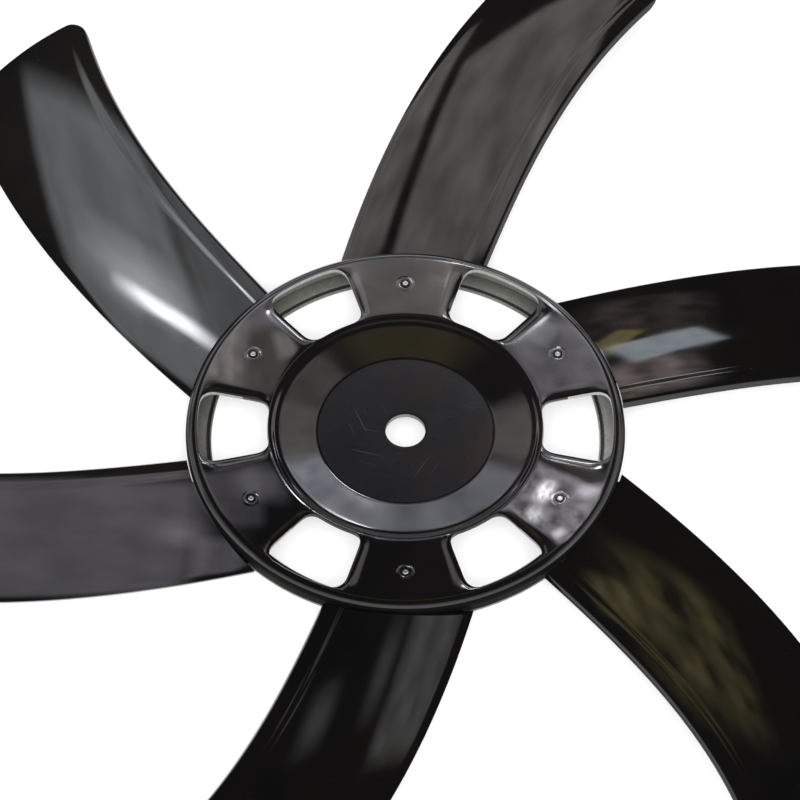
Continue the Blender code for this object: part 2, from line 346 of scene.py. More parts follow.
# %% Scuffed centre
def scuffed_black():
    mat, shader, place = node_material("scuffed_black_centre", specular=0.16)
    colour = blend_colors(mat, band(mat, noise(mat, place, 14.0, 4.0), 0.3, 0.7),
                          (0.0035, 0.003, 0.004), (0.0065, 0.0055, 0.008))
    stain = band(mat, noise(mat, place, 19.0, 5.0), 0.56, 0.68, 0.0, 0.8)
    colour = blend_colors(mat, stain, colour, (0.015, 0.008, 0.006))
    marks = None
    for turn in (0.4, 1.3, 2.6):
        line = band(mat, noise(mat, place, 1.0, 1.0, stretch=(420, 14, 420), turn=turn), 0.75, 0.80)
        marks = line if marks is None else math_node(mat, "MAXIMUM", marks, line)
    colour = blend_colors(mat, math_node(mat, "MULTIPLY", marks, 0.5), colour, (0.09, 0.09, 0.10))
    link(mat, colour, shader.inputs["Base Color"])
    rough = band(mat, noise(mat, place, 22.0, 5.0), 0.3, 0.7, 0.2, 0.34)
    link(mat, rough, shader.inputs["Roughness"])
    add_bump(mat, shader, [(noise(mat, place, 60.0, 3.0), 0.05 * MM), (marks, 0.01 * MM)])
    return mat


centre_black = scuffed_black()
print("centre:", centre_black.name)

# %% [markdown]
# Behind the gelcoat the laminate is bare: grey-green resin over chopped glass strands, which lie
# in every direction. Stretched noise, turned three ways, gives the strands. Where the windows
# were cut out, the edge shows the paler, sawn laminate.

# %% Bare laminate and its cut edges
def raw_laminate(name, dark, pale, strand_depth):
    mat, shader, place = node_material(name, specular=0.35)
    strands = None
    for turn in (0.2, 1.1, 2.4):
        layer = noise(mat, place, 1.0, 2.0, stretch=(520, 60, 240), turn=turn)
        strands = layer if strands is None else math_node(mat, "MAXIMUM", strands, layer)
    fleck = band(mat, strands, 0.5, 0.72)
    colour = blend_colors(mat, fleck, dark, pale)
    cloud = band(mat, noise(mat, place, 24.0, 4.0), 0.35, 0.7, 0.0, 0.5)
    colour = blend_colors(mat, cloud, colour, tuple(0.75 * c for c in dark))
    link(mat, colour, shader.inputs["Base Color"])
    link(mat, band(mat, fleck, 0.0, 1.0, 0.62, 0.45), shader.inputs["Roughness"])
    add_bump(mat, shader, [(strands, strand_depth), (noise(mat, place, 300.0, 3.0), 0.08 * MM)])
    return mat


bare_laminate = raw_laminate("bare_laminate", (0.2, 0.2, 0.175), (0.28, 0.28, 0.245), 0.12 * MM)
cut_laminate = raw_laminate("cut_laminate_edge", (0.36, 0.35, 0.34), (0.52, 0.51, 0.49), 0.1 * MM)
# A near-black laminate finish, laid in the ring's groove as painted shade.
groove_painted_shade = raw_laminate("groove_painted_shade", (0.02, 0.02, 0.016), (0.03, 0.03, 0.025), 0.05 * MM)
print("laminates:", bare_laminate.name, cut_laminate.name, groove_painted_shade.name)

# %% [markdown]
# The fixings need two metals and a dark lacquer. Each is a plain shader with fine, uneven
# roughness, because a rivet head is only a few millimetres across.

# %% Fixing metals
def fixing_metal(name, colour, metallic, rough_low, rough_high, grain, specular=0.5):
    mat, shader, place = node_material(name, metallic=metallic, specular=specular)
    tone = band(mat, noise(mat, place, 350.0, 3.0), 0.3, 0.7)
    mixed = blend_colors(mat, tone, tuple(0.8 * c for c in colour), colour)
    link(mat, mixed, shader.inputs["Base Color"])
    rough = band(mat, noise(mat, place, 800.0, 3.0), 0.3, 0.7, rough_low, rough_high)
    link(mat, rough, shader.inputs["Roughness"])
    add_bump(mat, shader, [(noise(mat, place, 1100.0, 2.0), grain)])
    return mat


bright_aluminium = fixing_metal("bright_rivet", (0.5, 0.5, 0.51), 1.0, 0.3, 0.45, 0.02 * MM)
# Black, dull flange: partly a black coat, partly painted shade of the recess round the mandrel.
flange_black_and_shade = fixing_metal("rivet_flange_black", (0.006, 0.006, 0.007), 0.0, 0.2, 0.3, 0.02 * MM,
                            specular=0.12)
zinc = fixing_metal("zinc_washer", (0.6, 0.61, 0.6), 1.0, 0.3, 0.5, 0.03 * MM)
print("metals:", bright_aluminium.name, flange_black_and_shade.name, zinc.name)

# %% [markdown]
# ## The blades' form
#
# Each blade is a thin laminate sheet 152 mm across, swept and cambered. Its section is a shallow
# arch that falls from the leading edge to the trailing edge, and the surface runs straight from
# the root's section to the tip's, so highlights run along the whole blade. The leading edge is
# rolled over into a bead, and the trailing edge is bevelled. The hub needs this form too, because
# its skirt is slotted where a blade's foot passes through, so it comes first. The formula is the
# one that the plain solid was made with, so the dressed blade lies where the solid does. Only the
# bead's nose and the bevel are narrower.

# %% Blade sizes and the form across the chord
TIP_R = 610 * MM
CHORD = 152 * MM
CHORD_GROWTH = 0.055
EDGE_ROOT = math.radians(8.3)
EDGE_SLOPE = math.radians(3.4)
EDGE_SWEEP = math.radians(-8.5)
BLADE_T = 4 * MM
ROOT_FALL = 5 * MM
ROOT_CAMBER = 6 * MM
ROOT_TOP_DEPTH = 8 * MM
TIP_FALL = 16 * MM
TIP_CAMBER = 9 * MM
TIP_LEAD_HEIGHT = 14 * MM
TIP_CORNER = 25 * MM
NOSE_DROP = 3 * MM
NOSE_WIDTH = 4.5 * MM
BEAD_HEIGHT = 1.5 * MM
BEAD_FLAT_END = 18 * MM
BEAD_END = 23 * MM
BEVEL_WIDTH = 6 * MM
BEVEL_DROP = 0.7 * MM
ROOT_CLEAR = 0.9 * MM
ROOT_R = DISC_R + ROOT_CLEAR
FOOT_TOP = 5.3 * MM
FOOT_LEVEL_R = 194 * MM
JOGGLE_END_R = 210 * MM
FOOT_FROM = 32 * MM
FOOT_TO = 140.4 * MM


def smooth(value):
    value = min(max(value, 0.0), 1.0)
    return value * value * (3 - 2 * value)


def span_share(radius):
    """0 where the blade leaves the hub, 1 at the tip."""
    return (radius - DISC_R) / (TIP_R - DISC_R)


def blade_angle(radius, across):
    """Angle of a point on the first blade at a radius and a distance from its leading edge."""
    span = span_share(radius)
    leading = EDGE_ROOT + EDGE_SLOPE * span + EDGE_SWEEP * span * span
    return leading + (1 + CHORD_GROWTH * span) * across / radius


def edge_form(across):
    """Height of the rolled leading edge or the trailing bevel over the blade's plain surface."""
    if across < NOSE_WIDTH:
        return BEAD_HEIGHT - (NOSE_DROP + BEAD_HEIGHT) * (1 - across / NOSE_WIDTH) ** 2
    if across < BEAD_END:
        return BEAD_HEIGHT * smooth((BEAD_END - across) / (BEAD_END - BEAD_FLAT_END))
    if across > CHORD - BEVEL_WIDTH:
        return -BEVEL_DROP * (across - CHORD + BEVEL_WIDTH) / BEVEL_WIDTH
    return 0.0


def section(across, fall, camber):
    """A cambered section that starts level with the leading edge and falls to the other edge."""
    share = across / CHORD
    return 4 * camber * share * (1 - share) - fall * share


def root_depth(across):
    """Depth of the root's section below the arm face; its highest line clears the rim."""
    top = (4 * ROOT_CAMBER - ROOT_FALL) ** 2 / (16 * ROOT_CAMBER)
    return ROOT_TOP_DEPTH + top - section(across, ROOT_FALL, ROOT_CAMBER)


def blade_depth(radius, across):
    """Depth of the blade's upper surface below the arm face."""
    tip_depth = -TIP_LEAD_HEIGHT - section(across, TIP_FALL, TIP_CAMBER)
    root = root_depth(across)
    return root + (tip_depth - root) * span_share(radius) - edge_form(across)


def foot_depth(radius, across):
    """The foot lies flat under the arm, then steps down to the root's section."""
    step = smooth((radius - FOOT_LEVEL_R) / (JOGGLE_END_R - FOOT_LEVEL_R))
    return FOOT_TOP + (root_depth(across) - FOOT_TOP) * step


def tip_radius(across):
    near = min(across, CHORD - across)
    if near >= TIP_CORNER:
        return TIP_R
    return TIP_R - TIP_CORNER + math.sqrt(TIP_CORNER ** 2 - (TIP_CORNER - near) ** 2)


print("root section from", round(root_depth(0) / MM, 1), "to", round(root_depth(CHORD) / MM, 1),
      "mm deep")

# %% [markdown]
# ## Hub disc
#
# The hub is one moulding, and the same sixth of it comes round six times. So one 60-degree
# sector is modelled, with its window in the middle, and turned round the axis. Its outline runs
# from the bore over the dish and the flat to the rolled rim and down the skirt. Spinning that
# outline gives a grid whose lines already fall on the window's sides.

# %% Outline of the hub's front face, as (radius, depth below the arm face)
RIM_ROUND = 9 * MM
SKIRT_DRAFT = 1.5 * MM
SHEET = 5 * MM
WINDOW_IN_R = 137.5 * MM
WINDOW_OUT_R = 208.5 * MM
WINDOW_HALF = math.radians(12.5)
CENTRE_EDGE_R = 89 * MM
SECTOR_STEPS = 24
GRID_ANGLE = STEP / SECTOR_STEPS
CUT_SLACK = 0.2 * MM

dish = [(20, 8), (24, 8), (40, 8), (62, 8), (80, 8), (88.7, 8), (90, 7.94), (91.3, 7.8), (102, 6.6),
        (114, 5.3), (124, 4.22), (127.5, 3.8), (129.6, 3.45), (130.9, 2.9), (132.1, 2.2),
        (133.5, 1.4), (135.3, 0.55)]
flat = [(137.5, 0.1), (143.5, 0), (149.5, 0), (158, 0), (167, 0), (177, 0), (186, 0),
        (194.5, 0), (201.5, 0), (208.5, 0), (210.6, 0)]
hub_outline = [(radius * MM, depth * MM) for radius, depth in dish + flat]
for angle in (15, 33, 52, 71, 90):
    turn = math.radians(angle)
    hub_outline.append((DISC_R - RIM_ROUND * (1 - math.sin(turn)), RIM_ROUND * (1 - math.cos(turn))))

for depth in (10.5 * MM, 15 * MM, 19 * MM, SKIRT_DEPTH):
    fall = (depth - RIM_ROUND) / (SKIRT_DEPTH - RIM_ROUND)
    hub_outline.append((DISC_R - SKIRT_DRAFT * fall, depth))
print("hub outline of", len(hub_outline), "points")

# %% [markdown]
# The window's faces are deleted from the sector, and its four corners are rounded by moving the
# corner vertices on to an arc. The arms are crowned: their sides roll down a little towards the
# windows, so the vertices beside each window are lowered.

# %% Model one sector
IN_CORNER = 12 * MM
OUT_CORNER = 14 * MM
ARM_ROLL = 1.1 * MM
NEXT_LINE_SHARE = 0.04


def corner_moves(edge_r, corner, inward, places):
    """Moves that take a window corner's grid vertices on to a rounded corner.

    places gives (radius, grid lines from the side, turn along the round in degrees). inward is
    +1 where the window lies outside edge_r and -1 where it lies inside.
    """
    moves = []
    for side in (-1, 1):
        for radius, lines, turn in places:
            turn = math.radians(turn)
            new_r = edge_r + inward * corner * (1 - math.sin(turn))
            across = corner * (1 - math.cos(turn))
            old_angle = side * (WINDOW_HALF - lines * GRID_ANGLE)
            new_angle = side * (WINDOW_HALF - across / new_r)
            old = Vector((radius * math.cos(old_angle), radius * math.sin(old_angle), 0))
            new = Vector((new_r * math.cos(new_angle), new_r * math.sin(new_angle), 0))
            moves.append((old, new))
    return moves


def move_vertex(piece, old, new):
    if pick(piece, "VERT", lambda place: (place - old).xy.length < CUT_SLACK) != 1:
        raise RuntimeError("a grid vertex is not where it was expected")
    bpy.ops.transform.translate(value=new - old)


def cut_window(piece):
    def in_window(place):
        inside = WINDOW_IN_R < radius_of(place) < WINDOW_OUT_R
        return inside and abs(angle_of(place)) < WINDOW_HALF
    pick(piece, "FACE", in_window)
    bpy.ops.mesh.delete(type="FACE")
    outer = [(194.5 * MM, 0, 0), (201.5 * MM, 0, 28), (WINDOW_OUT_R, 0, 55), (WINDOW_OUT_R, 1, 78)]
    inner = [(149.5 * MM, 0, 0), (143.5 * MM, 0, 25), (WINDOW_IN_R, 0, 48), (WINDOW_IN_R, 1, 70)]
    moves = corner_moves(WINDOW_OUT_R, OUT_CORNER, -1, outer)
    moves += corner_moves(WINDOW_IN_R, IN_CORNER, 1, inner)
    for old, new in moves:
        move_vertex(piece, old, new)


def roll_arm_sides(piece):
    """Lowers the grid lines beside the window, fading out towards its two arcs."""
    for radius, _ in hub_outline:
        fade = smooth((radius - WINDOW_IN_R) / IN_CORNER)
        fade *= smooth((WINDOW_OUT_R - radius) / OUT_CORNER)
        if fade == 0:
            continue
        for lines, share in ((0, 1.0), (1, NEXT_LINE_SHARE)):
            line = WINDOW_HALF + lines * GRID_ANGLE

            def on_side(place):
                on_ring = abs(radius_of(place) - radius) < CUT_SLACK
                return on_ring and abs(abs(angle_of(place)) - line) < GRID_ANGLE / 3
            pick(piece, "VERT", on_side)
            bpy.ops.transform.translate(value=(0, 0, -ARM_ROLL * share * fade))


def model_sector():
    piece = start_piece("hub_moulding")
    start = -STEP / 2
    draw_outline([(r * math.cos(start), r * math.sin(start), FACE_Z - d) for r, d in hub_outline])
    bpy.ops.mesh.select_all(action="SELECT")
    bpy.ops.mesh.spin(steps=SECTOR_STEPS, angle=STEP, center=(0, 0, 0), axis=(0, 0, -1))
    bpy.ops.mesh.select_all(action="SELECT")
    bpy.ops.mesh.normals_make_consistent(inside=False)
    roll_arm_sides(piece)
    cut_window(piece)
    return piece


hub = model_sector()
print("sector faces:", len(bmesh.from_edit_mesh(hub.data).faces))

# %% [markdown]
# Five turned copies close the ring. Their seams are merged first, and only then does the skin
# get its 5 mm of laminate, so that the wall is one closed shell. Solidify also gives each part
# of the shell its own finish: gelcoat outside, bare laminate inside, sawn laminate on the rim.

# %% Close the ring and give it thickness
hub_finishes = [hub_black, cut_laminate, bare_laminate, centre_black, skirt_black]
GLOSS, SAWN, BARE, SCUFFED, DULL = range(len(hub_finishes))


def repeat_round(piece):
    bpy.ops.mesh.select_all(action="SELECT")
    for _ in range(SECTORS - 1):
        bpy.ops.mesh.duplicate()
        bpy.ops.transform.rotate(value=STEP, orient_axis="Z", center_override=(0, 0, 0))
    bpy.ops.mesh.select_all(action="SELECT")
    bpy.ops.mesh.remove_doubles(threshold=DOUBLE)
    bpy.ops.mesh.normals_make_consistent(inside=False)
    bm = bmesh.from_edit_mesh(piece.data)
    if sum(face.normal.z * face.calc_area() for face in bm.faces) < -MM * MM:
        bpy.ops.mesh.flip_normals()


def use_finishes(piece, finishes):
    piece.data.materials.clear()
    for finish in finishes:
        piece.data.materials.append(finish)


def thicken(piece, wall):
    """Gives the sheet its wall, with its second finish on the rim and its third on the back."""
    apply_modifier(piece, "SOLIDIFY", thickness=wall, offset=-1, use_even_offset=True,
                   use_quality_normals=True, material_offset=BARE, material_offset_rim=SAWN,
                   edge_crease_outer=1.0, edge_crease_inner=1.0)


def assign_finish(piece, index, test):
    bpy.ops.object.mode_set(mode="EDIT")
    count = pick(piece, "FACE", test)
    piece.active_material_index = index
    bpy.ops.object.material_slot_assign()
    bpy.ops.object.mode_set(mode="OBJECT")
    return count


repeat_round(hub)
bpy.ops.object.mode_set(mode="OBJECT")
use_finishes(hub, hub_finishes)
thicken(hub, SHEET)
print("shell of", len(hub.data.polygons), "faces")

# %% [markdown]
# The shell has its gloss, sawn and bare faces already. What is left to paint is chosen by place:
# the scuffed flat centre, the wall of the bore, which gets the darker bare laminate as painted
# shade, the dull skirt, and the windows' walls nearer the axis, which get the black gloss instead
# of the pale sawn finish.

# %% Paint the hub's faces
BORE_WALL_R = 20.2 * MM
CENTRE_BELOW = 9 * MM
SKIRT_BELOW = 2 * MM
PALE_EDGE_R = 168 * MM
EDGE_FROM = 2.2 * MM
EDGE_TO = 4.6 * MM


def depth_of(place):
    return FACE_Z - place.z


def in_centre(place):
    return radius_of(place) < CENTRE_EDGE_R and depth_of(place) < CENTRE_BELOW


def on_skirt(place):
    return radius_of(place) > DISC_R - SKIRT_DRAFT and depth_of(place) > SKIRT_BELOW


# The windows' walls nearer the axis get the black gloss instead of the pale sawn finish, so they are
# dark.
def on_darkened_window_wall(place):
    beside_window = WINDOW_IN_R - MM < radius_of(place) < PALE_EDGE_R
    return beside_window and EDGE_FROM < depth_of(place) < EDGE_TO


print(assign_finish(hub, SCUFFED, in_centre), "faces scuffed")
# The bore's wall gets the darker bare laminate instead of the sawn finish, as painted shade in the
# bore.
print(assign_finish(hub, BARE, lambda place: radius_of(place) < BORE_WALL_R), "faces in the bore")
print(assign_finish(hub, DULL, on_skirt), "faces on the skirt")
print(assign_finish(hub, GLOSS, on_darkened_window_wall), "faces on the coated edges")

# %% [markdown]
# Each blade's foot leaves through a slot in the skirt. The slot follows the blade's arched root
# section, which crosses the shell's grid at a slant, so it can't be opened by deleting faces. A
# thick copy of that section, a little larger than the foot, is cut away by a Boolean instead.
# A bevel then rounds all sharp edges. It leaves a few doubles at the slots' corners, and these
# are merged.

# %% Cut the six slots and finish the hub
SLOT_CLEAR = 0.4 * MM
SLOT_LINES = 12
CORNER_DOUBLE = 0.0005 * MM


def slot_tool():
    bpy.ops.object.select_all(action="DESELECT")
    bpy.ops.mesh.primitive_grid_add(x_subdivisions=1, y_subdivisions=SLOT_LINES, size=2)
    piece = bpy.context.object
    piece.name = "slot_tool"
    for vert in piece.data.vertices:
        radius = DISC_R + RIM_ROUND * round(vert.co.x)
        share = (vert.co.y + 1) / 2
        across = FOOT_FROM - SLOT_CLEAR + (FOOT_TO - FOOT_FROM + 2 * SLOT_CLEAR) * share
        angle = blade_angle(ROOT_R, across)
        height = FACE_Z - root_depth(across) + SLOT_CLEAR
        vert.co = (radius * math.cos(angle), radius * math.sin(angle), height)
    apply_modifier(piece, "SOLIDIFY", thickness=BLADE_T + 2 * SLOT_CLEAR, offset=-1)
    use_finishes(piece, hub_finishes)
    for face in piece.data.polygons:
        face.material_index = DULL
    bpy.ops.object.mode_set(mode="EDIT")
    repeat_round(piece)
    bpy.ops.object.mode_set(mode="OBJECT")
    return piece


def merge_doubles(piece, threshold):
    bpy.ops.object.mode_set(mode="EDIT")
    bpy.ops.mesh.select_mode(type="VERT")
    bpy.ops.mesh.select_all(action="SELECT")
    bpy.ops.mesh.remove_doubles(threshold=threshold)
    bpy.ops.object.mode_set(mode="OBJECT")


apply_modifier(hub, "SUBSURF", levels=1, render_levels=1)
slots = slot_tool()
apply_modifier(hub, "BOOLEAN", operation="DIFFERENCE", solver="EXACT", object=slots)
bpy.data.objects.remove(slots, do_unlink=True)
apply_modifier(hub, "BEVEL", width=0.6 * MM, segments=2, limit_method="ANGLE",
               angle_limit=math.radians(50), use_clamp_overlap=True)
merge_doubles(hub, CORNER_DOUBLE)
finish_piece(hub)
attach(hub, "root")
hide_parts("hub_disc")
print(len(hub.data.polygons), "faces in the hub")

# %% [markdown]
# ## Blades
#
# A form like this is a formula, not a bent plane, so the blade is a grid of rows, each at its own
# radius, and lines, each at its own distance from the leading edge. They are closer together
# where the form turns quickly: at the bead, at the bevel, at the foot and round the tip's
# corners. A subdivision surface then smooths what lies between.

# %% Place the grid
def spread(start, end, count):
    return [start + (end - start) * step / count for step in range(count + 1)]


across_lines = [d * MM for d in (0, 1.2, 3, 5, 7, 9.5, 13.5, 17.5, 20.5, 23.5, 27)]
across_lines += spread(FOOT_FROM, 128 * MM, 9) + [135 * MM, FOOT_TO]
across_lines += [d * MM for d in (142.6, 144, 147.5, 150.8, 152)]
foot_rows = [r * MM for r in (150, 152, 169, 185, 194, 199, 203, 208, 213, 218)]
span_rows = [0, 0.004] + spread(0, 1, 20)[1:-1] + [0.985, 1.0]
row_count = len(foot_rows) + len(span_rows)
print("blade grid of", row_count, "rows and", len(across_lines), "lines")

# %% [markdown]
# A flat grid is added with one vertex for each row and line, so a vertex's first place tells
# which one it is. Every vertex then moves to its own place on the blade, and the faces beside the
# foot are deleted, because the foot is narrower than the blade.

# %% Model one blade
def blade_place(row, line):
    across = across_lines[line]
    if row < len(foot_rows):
        radius = foot_rows[row]
        return radius, blade_angle(ROOT_R, across), foot_depth(radius, across)
    radius = ROOT_R + (tip_radius(across) - ROOT_R) * span_rows[row - len(foot_rows)]
    return radius, blade_angle(radius, across), blade_depth(radius, across)


def model_blade():
    bpy.ops.object.select_all(action="DESELECT")
    bpy.ops.mesh.primitive_grid_add(x_subdivisions=row_count - 1,
                                    y_subdivisions=len(across_lines) - 1, size=2)
    piece = bpy.context.object
    piece.name = piece.data.name = "fan_blade_1"
    bpy.ops.object.mode_set(mode="EDIT")

    def grid_index(place):
        row = round((place.x + 1) / 2 * (row_count - 1))
        line = round((place.y + 1) / 2 * (len(across_lines) - 1))
        return row, line
    bm = bmesh.from_edit_mesh(piece.data)
    spare = []
    for face in bm.faces:
        corners = [grid_index(vert.co) for vert in face.verts]
        first_row = min(row for row, line in corners)
        low = across_lines[min(line for row, line in corners)]
        high = across_lines[max(line for row, line in corners)]
        beside_foot = low < FOOT_FROM - MM / 10 or high > FOOT_TO + MM / 10
        if first_row < len(foot_rows) and beside_foot:
            spare.append(face)
    for vert in bm.verts:
        radius, angle, depth = blade_place(*grid_index(vert.co))
        vert.co = (radius * math.cos(angle), radius * math.sin(angle), FACE_Z - depth)
    bmesh.ops.delete(bm, geom=spare, context="FACES")
    bmesh.update_edit_mesh(piece.data)
    bpy.ops.object.mode_set(mode="OBJECT")
    return piece


blade = model_blade()
use_finishes(blade, [blade_black, blade_black, bare_laminate])
thicken(blade, BLADE_T)
apply_modifier(blade, "SUBSURF", levels=2, render_levels=2)
finish_piece(blade, sharp=50)

# %% [markdown]
# The other five blades are copies, each with its own mesh, turned about the spin axis in edit
# mode so that the object itself stays unturned. Rivets and collars are copied in the same way.

# %% Turn copies of a finished piece round the axis
def middle_of(piece):
    corners = [Vector(corner) for corner in piece.bound_box]
    return sum(corners, Vector()) / len(corners)


def copies_round(first, name, nodes):
    """Turns a copy to each place; nodes is the nodes' first word, or None for an added trim."""
    made = [first]
    for index in range(1, SECTORS):
        bpy.ops.object.select_all(action="DESELECT")
        bpy.context.view_layer.objects.active = made[-1]
        made[-1].select_set(True)
        bpy.ops.object.duplicate()
        copy = bpy.context.object
        copy.name = copy.data.name = f"{name}_{index + 1}"
        bpy.ops.object.mode_set(mode="EDIT")
        bpy.ops.mesh.select_all(action="SELECT")
        bpy.ops.transform.rotate(value=-STEP, orient_axis="Z", center_override=(0, 0, 0))
        bpy.ops.object.mode_set(mode="OBJECT")
        made.append(copy)
    for index, piece in enumerate(made):
        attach(piece, "root")
        if nodes:
            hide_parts(f"{nodes}_{index + 1}")
        angle = math.degrees(angle_of(middle_of(piece)))
        print(piece.name, "at", round(angle, 1), "degrees")
    return made


blades = copies_round(blade, "fan_blade", "blade")

# %% [markdown]
# ## Stiffening ring, rivets and washers
#
# Behind the skirt a laminate ring ties the blade feet together. Each arm is riveted through its
# blade's foot: the head is a black flange round a bright, slightly domed mandrel, and drawing it
# tight has raised a low collar in the gelcoat. The flange's near-black, dull finish is partly its
# black coat and partly painted shade of a recess round the mandrel. All are turned shapes, so
# each is an outline spun about the spin axis. The ring has a shallow groove, and its faces are
# painted near black as painted shade in the groove.

# %% Ring behind the skirt
HOOP_IN_R = 194.5 * MM
EDGE_ROUND = 0.8 * MM
LINE_IN_R = 196 * MM
LINE_OUT_R = 199.5 * MM
LINE_DEPTH = 1.2 * MM
hoop_top, hoop_bottom, hoop_out = hoop_high.z, hoop_low.z, hoop_high.x


def lathe(name, outline, steps):
    """Turns a closed (radius, height) outline about the spin axis."""
    piece = start_piece(name)
    points = [(radius, 0, height) for radius, height in outline]
    draw_outline(points + points[:1])
    bpy.ops.mesh.select_all(action="SELECT")
    bpy.ops.mesh.spin(steps=steps, angle=2 * math.pi, center=(0, 0, 0), axis=(0, 0, 1))
    bpy.ops.mesh.select_all(action="SELECT")
    bpy.ops.mesh.remove_doubles(threshold=DOUBLE)
    bpy.ops.mesh.normals_make_consistent(inside=False)
    return piece


def in_groove(place):
    return LINE_IN_R < radius_of(place) < LINE_OUT_R and place.z > hoop_top - LINE_DEPTH - CUT_SLACK


hoop = lathe("skirt_ring", [
    (HOOP_IN_R + EDGE_ROUND, hoop_top), (LINE_IN_R, hoop_top), (LINE_IN_R + MM, hoop_top - LINE_DEPTH),
    (LINE_OUT_R - MM, hoop_top - LINE_DEPTH), (LINE_OUT_R, hoop_top), (206 * MM, hoop_top + 0.1 * MM),
    (hoop_out - EDGE_ROUND, hoop_top), (hoop_out, hoop_top - EDGE_ROUND),
    (hoop_out, hoop_bottom + EDGE_ROUND), (hoop_out - EDGE_ROUND, hoop_bottom),
    (HOOP_IN_R + EDGE_ROUND, hoop_bottom), (HOOP_IN_R, hoop_bottom + EDGE_ROUND),
    (HOOP_IN_R, hoop_top - EDGE_ROUND)], steps=180)
ring_finishes = [bare_laminate, groove_painted_shade]
use_finishes(hoop, ring_finishes)
# The groove's faces get the near-black finish, as painted shade in the groove.
print(assign_finish(hoop, ring_finishes.index(groove_painted_shade), in_groove), "faces of dark resin")
finish_piece(hoop, sharp=60)
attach(hoop, "root")
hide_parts("skirt_hoop")

# %% [markdown]
# The rivet's outline starts at the top of the bright mandrel, goes down into the groove that
# parts it from the black flange, and on round the flange and the flared tail. The flange's
# near-black, dull finish is partly its black coat and partly painted shade of a recess round
# the mandrel. Rivet and collar are made on the spin axis and moved to the first arm in edit mode.

# %% Rivets and their collars
PLUG_R = 2.75 * MM
PLUG_SLACK = 0.02 * MM
HEAD_R = (rivet_high.x - rivet_low.x) / 2
rivet_place = Vector((*rivet_centre.xy, 0))


def over_face(points):
    """Turns (radius, height over the arm face) in mm into metres in the wheel's frame."""
    return [(radius * MM, FACE_Z + height * MM) for radius, height in points]


def put_at_rivet(piece):
    """Moves a turned shape, in its mesh, from the axis to the first rivet's place."""
    bpy.ops.mesh.select_all(action="SELECT")
    bpy.ops.transform.translate(value=rivet_place)
    bpy.ops.object.mode_set(mode="OBJECT")


def is_bright(place):
    on_plug = (place - rivet_place).xy.length < PLUG_R + PLUG_SLACK
    return on_plug or place.z < FACE_Z - MM


mandrel = over_face([(0, 1.95), (1, 1.9), (1.9, 1.7), (2.5, 1.3), (2.75, 0.85)])
flange = over_face([(2.95, 0.6), (3.2, 0.85), (3.7, 0.95), (4.3, 0.8), (4.7, 0.4)])
tail = rivet_low.z
rivet = lathe("blind_rivet_1", mandrel + flange + [
    (HEAD_R, FACE_Z), (HEAD_R - 0.3 * MM, FACE_Z - 0.15 * MM), (2.4 * MM, FACE_Z - 0.15 * MM),
    (2.4 * MM, tail + 2.6 * MM), (3.4 * MM, tail + 2.4 * MM), (3.6 * MM, tail + 1.6 * MM),
    (3.3 * MM, tail + 0.6 * MM), (2.2 * MM, tail), (0, tail)], steps=32)
put_at_rivet(rivet)
rivet_finishes = [flange_black_and_shade, bright_aluminium]
use_finishes(rivet, rivet_finishes)
print(assign_finish(rivet, rivet_finishes.index(bright_aluminium), is_bright), "bright faces")
finish_piece(rivet, sharp=45)
rivets = copies_round(rivet, "blind_rivet", "rivet")

swell = [(5, -0.3), (5, 0.1), (5.5, 0.17), (6.2, 0.24), (7.2, 0.22), (8.2, 0.12), (9.2, 0.03),
         (10, -0.05), (9.8, -0.3)]
collar = lathe("rivet_collar_1", over_face(swell), steps=48)
put_at_rivet(collar)
use_finishes(collar, [hub_black])
finish_piece(collar, sharp=60)
collars = copies_round(collar, "rivet_collar", None)

# %% [markdown]
# The zinc washers of the plain model are already right, so they only get a finish.

# %% Washers
for index in range(SECTORS):
    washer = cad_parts[f"washer_{index + 1}"]
    washer.data.materials.clear()
    washer.data.materials.append(zinc)
print(SECTORS, "washers finished")

# %% [markdown]
# ## Floor and light
#
# The floor is plain and pale.

# %% Floor
def add_floor():
    bpy.ops.object.select_all(action="DESELECT")
    bpy.ops.mesh.primitive_plane_add(size=80)
    floor = bpy.context.object
    floor.name = "pale_floor"
    mat, shader, place = node_material("pale_floor", specular=0.1)
    tone = band(mat, noise(mat, place, 3.0, 2.0), 0.3, 0.7)
    colour = blend_colors(mat, tone, (0.80, 0.80, 0.80), (0.84, 0.84, 0.84))
    link(mat, colour, shader.inputs["Base Color"])
    shader.inputs["Roughness"].default_value = 0.8
    floor.data.materials.append(mat)
    return floor


floor = add_floor()
print(floor.name, "added")

# %% [markdown]
# What makes black gelcoat readable is not light that falls on it but bright shapes mirrored in
# it. So small soft boxes hang where each blade, arm and crease mirrors them towards the camera,
# and the studio between them is dark. Each box lights one group of pieces only, as flags would
# make it do in a studio, so every blade can have its own picture in the gloss.

# %% Make a soft box
TIGHT = 0.06
LOW = 0.19
NEAR = 0.3
HIGH = 4.0
BOX_STEP = 0.3 * MM
WHITE = (1.0, 1.0, 1.0)
BLUE = (0.86, 0.96, 1.05)
LILAC = (0.95, 0.98, 1.12)
COOL = (0.96, 1.0, 1.05)
VIOLET = (0.98, 0.94, 1.06)
WARM = (1.05, 0.96, 0.94)
RUST = (1.1, 0.9, 0.85)
OLIVE = (1.0, 0.85, 0.35)


